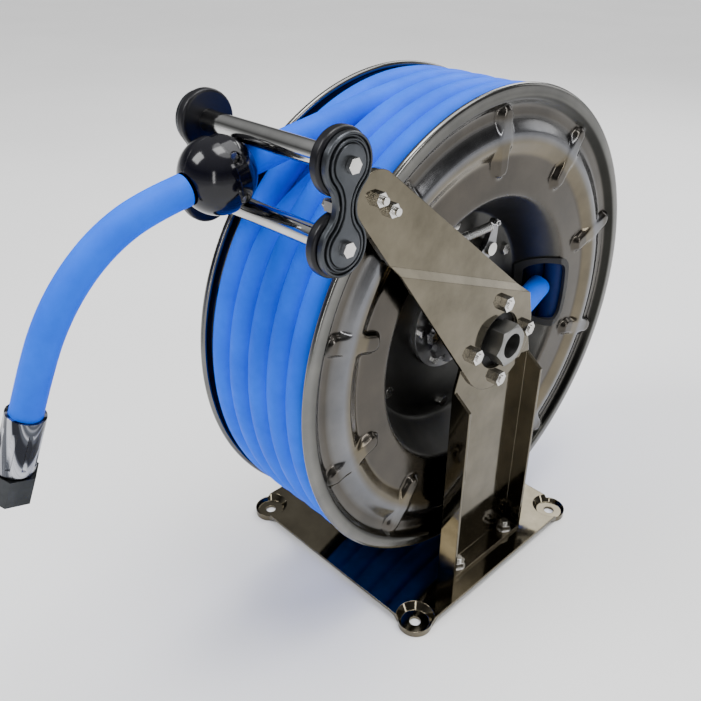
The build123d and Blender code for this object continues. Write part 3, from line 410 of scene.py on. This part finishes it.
# The turn that pays out: it comes up from the layer below, goes once round, and leaves straight for the ball.
lead_run = Vector((0, -math.sin(math.radians(LEAD_ANGLE)), math.cos(math.radians(LEAD_ANGLE))))
lead_start = about_axle(-PITCH, TURN_R, LEAD_ANGLE)
lead_climb = ((118, 1), (125, 0.95), (132, 0.7), (139, 0.3), (146, 0.05))   # angle, share of the climb left
lead_line = [about_axle(-PITCH, TURN_R - LEAD_DEPTH * left, angle) for angle, left in lead_climb]
lead_line += [about_axle(-PITCH, TURN_R, 154 + 8.45 * step) for step in range(36)]
lead_line += [lead_start + lead_run * distance for distance in (0.03, 0.08, 0.14, 0.19)]
lead = curve_tube("hose_lead", [lead_line], HOSE_R, order=4, resolution=4, round_steps=8)
put(lead, "frame", hose)
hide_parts("hose_last_turn")


# ------------------------------------------------------------------ cast end plates of the hose guide
PLATE_X = 0.0793                          # from the drum's middle to a plate's inner face
PLATE_TOP = Vector((0, -0.193, 0.205))    # centre of the top roller, from the drum's middle
PLATE_BOTTOM = Vector((0, -0.198, 0.149))
PLATE_HALF_LENGTH = 0.0281                # from the plate's middle to the centre of a round end
PLATE_END_R = 0.021
PLATE_WAIST = 0.0095                      # half of the width at the waist
PLATE_BLEND_R = 0.019                     # hollow curve from a round end into the waist
# The plate's face in steps from its edge inwards: how far in from the outline, and how high.
PLATE_STEPS = ((0.0006, 0), (0, 0.0006), (0, 0.0046), (0.0008, 0.0056), (0.0018, 0.0056), (0.0026, 0.0034),
               (0.0038, 0.0034), (0.0046, 0.0060), (0.0056, 0.0060), (0.0062, 0.0044), (0.0072, 0.0044),
               (0.0078, 0.0064))


def bone_outline(inset):
    """Outline of an end plate, two round ends and a waist, moved in by inset."""
    r, w, f = PLATE_END_R - inset, PLATE_WAIST - inset, PLATE_BLEND_R + inset
    centre_v = PLATE_HALF_LENGTH - math.sqrt((r + f) ** 2 - (w + f) ** 2)
    tip = math.atan2(PLATE_HALF_LENGTH - centre_v, w + f)
    quarter = []
    for i in range(17):
        a = math.pi / 2 - (math.pi / 2 + tip) * i / 16
        quarter.append((r * math.cos(a), PLATE_HALF_LENGTH + r * math.sin(a)))
    for i in range(1, 10):
        a = math.pi - tip + tip * i / 9
        quarter.append((w + f + f * math.cos(a), centre_v + f * math.sin(a)))
    lower = [(u, -v) for u, v in reversed(quarter)]
    right = quarter + lower
    left = [(-u, v) for u, v in reversed(right[1:-1])]
    return right + left


def end_plate(name, outward, node):
    """A cast end plate with a stepped relief, on the side of the drum that outward's sign gives."""
    top, bottom = AXLE + PLATE_TOP, AXLE + PLATE_BOTTOM
    middle, up = (top + bottom) / 2, (top - bottom).normalized()
    across = Vector((0, up.z, -up.y))
    bm = bmesh.new()
    loops = []
    for inset, height in PLATE_STEPS:
        centre = Vector((AXLE.x + outward * PLATE_X + outward * height, middle.y, middle.z))
        loops.append([bm.verts.new(centre + across * u + up * v) for u, v in bone_outline(inset)])
    for low, high in zip(loops, loops[1:]):
        for i in range(len(low)):
            j = (i + 1) % len(low)
            bm.faces.new((low[i], low[j], high[j], high[i]))
    bm.faces.new(loops[0])
    bm.faces.new(loops[-1])
    bmesh.ops.recalc_face_normals(bm, faces=bm.faces)
    data = bpy.data.meshes.new(name)
    bm.to_mesh(data)
    bm.free()
    plate = bpy.data.objects.new(name, data)
    put(plate, "frame", grey_casting)
    for face in data.polygons:
        face.use_smooth = len(face.vertices) == 4
    data.set_sharp_from_angle(angle=math.radians(28))
    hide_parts(node)


end_plate("end_plate_near", 1, "near_end_plate")
end_plate("end_plate_far", -1, "far_end_plate")


# ------------------------------------------------------------------ pressed flanges of the drum
SHEET = 0.0015
HUB_HOLE_R = 0.0356
DISH_R = 0.104            # the dish's flat floor ends here
DISH_TOP_R = 0.132        # and its wall here
FACE_R = 0.222            # the face ends here, where the rim is rolled over
RIM_R = 0.003
RIM_X = 0.066             # centre of the rolled rim's section
# Half section of the face: radius, and height above the drum's middle.
PROFILE = (
    (HUB_HOLE_R, 0.0200), (DISH_R, 0.0200), (0.1065, 0.0212),          # the dish
    (0.1275, 0.0600), (0.1300, 0.0622), (0.1325, 0.0628),              # its wall
    (0.1640, 0.0628), (0.1665, 0.0633), (0.1755, 0.0672),              # up to the raised ring
    (0.1780, 0.0677), (0.1835, 0.0677), (0.1860, 0.0672),
    (0.1940, 0.0637), (0.1965, 0.0630), (0.2060, 0.0630),              # the groove by the rim
    (0.2078, 0.0637), (0.2125, 0.0682), (0.2145, 0.0690), (FACE_R, 0.0690))
RIB_COUNT = 10
RIB_FIRST = math.radians(18)
RIB_MIDDLE = 0.179
RIB_HALF_RUN = 0.0215
RIB_HALF_WIDTH = 0.0080
RIB_TOP = 0.0682
RIB_EDGE = 0.0050         # width of a rib's sloping edge
RIBS_FROM_R = 0.145       # no rib reaches inside this radius
WINDOW_MIDDLE_R = 0.122
WINDOW_END_R = 0.015
WINDOW_HALF_ANGLE = math.radians(9)
AROUND = 600              # points round each ring of the mesh


def smooth(value):
    """An S-shaped step from 0 to 1."""
    value = min(max(value, 0.0), 1.0)
    return value * value * (3 - 2 * value)


def face_height(radius):
    """Height of the flange's face above the drum's middle, along its half section."""
    for (r0, x0), (r1, x1) in zip(PROFILE, PROFILE[1:]):
        if radius <= r1:
            return x0 + (x1 - x0) * (radius - r0) / (r1 - r0)
    return PROFILE[-1][1]


def rib_height(radius, angle, base):
    """The face with the nearest radial rib pressed into it."""
    pitch = 2 * math.pi / RIB_COUNT
    off = (angle - RIB_FIRST + pitch / 2) % pitch - pitch / 2
    run = max(abs(radius - RIB_MIDDLE) - RIB_HALF_RUN, 0.0)
    edge = math.hypot(run, radius * math.sin(off)) - RIB_HALF_WIDTH
    lift = smooth(-edge / RIB_EDGE + 0.5)
    return base + max(RIB_TOP - base, 0.0) * lift


def in_window(radius, angle):
    """Whether a point is inside the curved slot that the hose goes through."""
    beyond = max(abs((angle + math.pi) % (2 * math.pi) - math.pi) - WINDOW_HALF_ANGLE, 0.0)
    y, z = radius * math.cos(beyond) - WINDOW_MIDDLE_R, radius * math.sin(beyond)
    return math.hypot(y, z) < WINDOW_END_R


def stations():
    """Radii of the mesh's rings: fine over the dish's wall, the ribs and the rim."""
    marks = ((HUB_HOLE_R, DISH_R, 6), (DISH_R, DISH_TOP_R, 16), (DISH_TOP_R, 0.149, 8), (0.149, FACE_R, 46))
    radii = [low + (high - low) * i / count for low, high, count in marks for i in range(count)]
    return radii + [FACE_R]


def flange(name, side, node, windowed):
    """A pressed flange; side is 1 towards the pedestal and -1 away from it."""
    radii = stations()
    bm = bmesh.new()
    rings = []
    for radius in radii:
        base = face_height(radius)
        ring = []
        for i in range(AROUND):
            angle = 2 * math.pi * i / AROUND
            height = rib_height(radius, angle, base) if radius > RIBS_FROM_R else base
            ring.append(bm.verts.new(about_axle(side * height, radius, math.degrees(angle))))
        rings.append(ring)
    # The rolled rim, from the face round to the hose's side.
    for step in range(1, 11):
        a = math.radians(90 - 26 * step)
        x, radius = side * (RIM_X + RIM_R * math.sin(a)), FACE_R + RIM_R * math.cos(a)
        rings.append([bm.verts.new(about_axle(x, radius, 360 * i / AROUND)) for i in range(AROUND)])
        radii.append(FACE_R)
    for k in range(len(rings) - 1):
        for i in range(AROUND):
            middle = 2 * math.pi * (i + 0.5) / AROUND
            if windowed and in_window((radii[k] + radii[k + 1]) / 2, middle):
                continue
            j = (i + 1) % AROUND
            bm.faces.new((rings[k][i], rings[k][j], rings[k + 1][j], rings[k + 1][i]))
    bmesh.ops.delete(bm, geom=[v for v in bm.verts if not v.link_faces], context="VERTS")
    bmesh.ops.recalc_face_normals(bm, faces=bm.faces)
    if sum(f.normal.x * side for f in bm.faces) < 0:
        bmesh.ops.reverse_faces(bm, faces=bm.faces)
    data = bpy.data.meshes.new(name)
    bm.to_mesh(data)
    bm.free()
    obj = bpy.data.objects.new(name, data)
    put(obj, "drum", flange_sheet)
    thick = obj.modifiers.new("sheet", "SOLIDIFY")
    thick.thickness = SHEET
    thick.offset = -1
    for face in data.polygons:
        face.use_smooth = True
    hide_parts(node)


flange("flange_near", 1, "near_flange", True)
flange("flange_far", -1, "far_flange", False)


# ------------------------------------------------------------------ pawl spring
SPRING_X = 0.0376         # from the drum's middle to the spring
WIRE_R = 0.0009
COIL_R = 0.0037
COIL_TURNS = 19
EYE_R = 0.0026


def helix(start, end, radius, turns, steps=12):
    """Points of a coil that runs from start to end."""
    run = end - start
    along = run.normalized()
    side = along.cross(Vector((1, 0, 0))).normalized()
    other = along.cross(side)
    points = []
    for i in range(turns * steps + 1):
        a = 2 * math.pi * i / steps
        place = start + run * (i / (turns * steps))
        points.append(place + radius * (side * math.cos(a) + other * math.sin(a)))
    return points


ear = AXLE + Vector((SPRING_X, 0.044, 0.090))
post = about_axle(SPRING_X, 0.092, 105)
run = (post - ear).normalized()
coil_points = [ear + run * EYE_R, ear + run * 0.007]
coil_points += helix(ear + run * 0.011, post - run * 0.007, COIL_R, COIL_TURNS)
coil_points += [post - run * 0.005, post - run * EYE_R]
# The coil crosses the pawl's joint, so it is a plain mesh, baked in place and attached to neither body.
wire = curve_tube("pawl_spring_line", [coil_points], WIRE_R, resolution=3, round_steps=2)
spring = bpy.data.objects.new("pawl_spring_wire", bpy.data.meshes.new_from_object(wire))
spring.data.materials.clear()
bpy.context.scene.collection.objects.link(spring)
spring.data.materials.append(spring_steel)
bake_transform(spring)
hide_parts("pawl_spring")
for name, centre, body in (("pawl_spring_moving_eye", ear, "pawl"), ("pawl_spring_fixed_eye", post, "drum")):
    angles = [i * math.pi / 4 for i in range(8)]
    ring = [centre + EYE_R * Vector((0, math.cos(a), math.sin(a))) for a in angles]
    eye = curve_tube(name, [ring], WIRE_R, cyclic=True, resolution=3, round_steps=2)
    put(eye, body, spring_steel)


# ------------------------------------------------------------------ stage
def area_light(name, place, target, size, power, size_y=None):
    """A white area light that points at the target; size_y makes it a tall panel."""
    data = bpy.data.lights.new(name, "AREA")
    data.energy = power
    data.size = size
    if size_y:
        data.shape = "RECTANGLE"
        data.size_y = size_y
    light = bpy.data.objects.new(name, data)
    light.location = place
    light.rotation_euler = (Vector(target) - Vector(place)).to_track_quat("-Z", "Y").to_euler()
    bpy.context.scene.collection.objects.link(light)


def make_floor():
    """A plain pale floor, wide enough to reach the horizon."""
    half = 30.0
    mesh = bpy.data.meshes.new("floor")
    corners = [(-half, -half, 0), (half, -half, 0), (half, half, 0), (-half, half, 0)]
    mesh.from_pydata(corners, [], [(0, 1, 2, 3)])
    floor = bpy.data.objects.new("floor", mesh)
    bpy.context.scene.collection.objects.link(floor)
    n = Nodes("floor")
    n.join(n.ramp(n.noise(1.5, 2), [(0.3, 0.86), (0.7, 0.90)]), n.shader.inputs["Base Color"])
    n.shader.inputs["Roughness"].default_value = 0.8
    mesh.materials.append(n.material)


def make_world():
    """A grey surround: bright overhead and low down, dark in between, for the steel to mirror."""
    world = bpy.data.worlds.new("world")
    bpy.context.scene.world = world
    world.use_nodes = True
    tree = world.node_tree
    coords = tree.nodes.new("ShaderNodeTexCoord")
    split = tree.nodes.new("ShaderNodeSeparateXYZ")
    tree.links.new(coords.outputs["Generated"], split.inputs["Vector"])
    # Height, from -1 straight down to 1 straight up, becomes a place from 0 to 1 on the ramp.
    shift = tree.nodes.new("ShaderNodeMapRange")
    shift.inputs["From Min"].default_value = -1
    tree.links.new(split.outputs["Z"], shift.inputs["Value"])
    ramp = tree.nodes.new("ShaderNodeValToRGB")
    greys = ((0.0, 0.5), (0.5, 0.55), (0.58, 0.26), (0.66, 0.08), (0.78, 0.35), (1.0, 0.75))
    set_stops(ramp.color_ramp, greys)
    tree.links.new(shift.outputs["Result"], ramp.inputs["Fac"])
    background = tree.nodes["Background"]
    tree.links.new(ramp.outputs["Color"], background.inputs["Color"])
    background.inputs["Strength"].default_value = 1.0


def make_lights():
    area_light("key", (-0.7, -1.5, 2.0), (0, 0, 0.25), 0.9, 34)
    area_light("side", (2.0, 0.5, 1.0), (0, 0, 0.25), 0.25, 12, size_y=1.6)
    area_light("front", (1.5, -1.7, 0.8), (0, 0, 0.2), 0.2, 8, size_y=1.2)
    area_light("back", (-0.5, 1.8, 1.6), (0, 0, 0.3), 1.0, 16)
    area_light("top", (0.2, 0.0, 2.3), (0, 0, 0.2), 0.7, 16)
    area_light("fill", (0.65, 2.0, 0.95), (0.1, -0.05, 0.33), 0.8, 4)
    sun = bpy.data.lights.new("overhead", "SUN")
    sun.energy = 2.1
    sun.angle = math.radians(50)
    overhead = bpy.data.objects.new("overhead", sun)
    overhead.rotation_euler = (math.radians(-18), math.radians(8), 0)
    bpy.context.scene.collection.objects.link(overhead)


make_floor()
make_world()
make_lights()
